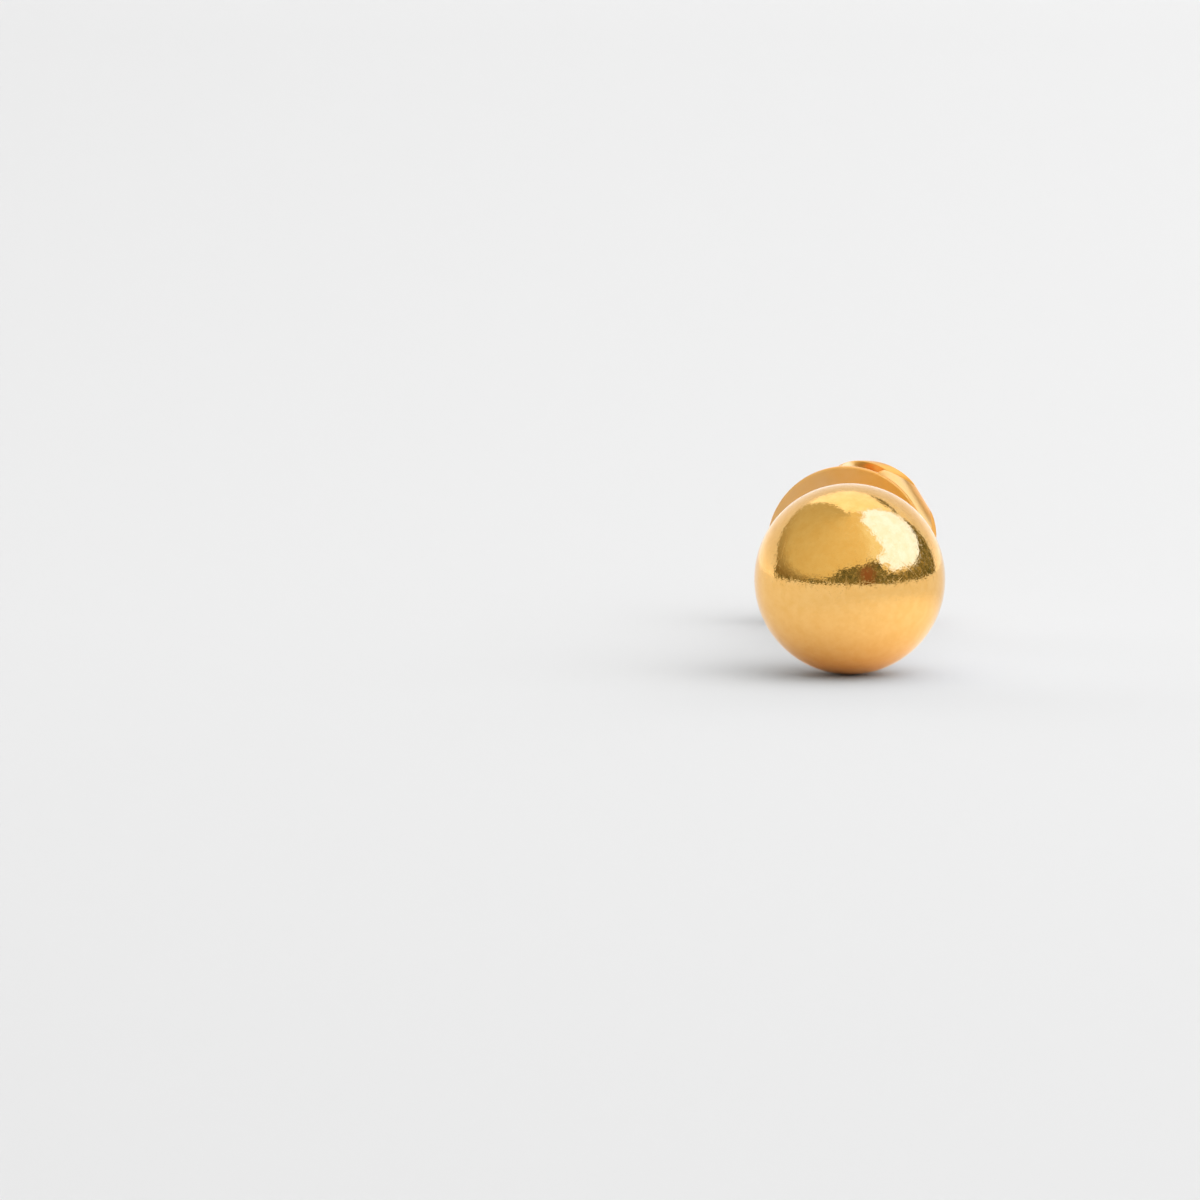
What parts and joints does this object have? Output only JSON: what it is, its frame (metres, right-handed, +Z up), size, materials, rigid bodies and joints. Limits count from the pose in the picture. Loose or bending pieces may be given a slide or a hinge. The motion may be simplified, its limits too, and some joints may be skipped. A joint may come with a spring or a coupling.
{
  "type": "ball stud earring with butterfly back",
  "caption": "Stud earring: a polished round ball soldered to a straight ear post, with a rolled-sheet butterfly back that slides on the post.",
  "frame": {"origin": "on the surface that the earring lies on, under the middle of its bounding box", "axes": "+Y along the post away from the ball (the post slopes down by about 1.6 degrees), +Z up, +X to the right seen from the ball"},
  "size_m": [0.005, 0.0156, 0.005],
  "materials": {
    "polished_gold": "mirror-polished warm gold plate with faint hairline scratches",
    "back_gold": "tumbled, slightly softer gold plate on stamped sheet"
  },
  "bodies": {
    "stud": {"ball_and_post": "polished_gold"},
    "back": {"butterfly_back": "back_gold"}
  },
  "joints": [
    {"name": "back_slide", "type": "slide", "parent": "stud", "child": "back", "axis": [0, 0.9996, -0.0281], "range_m": [-0.0072, 0.0032]}
  ]
}
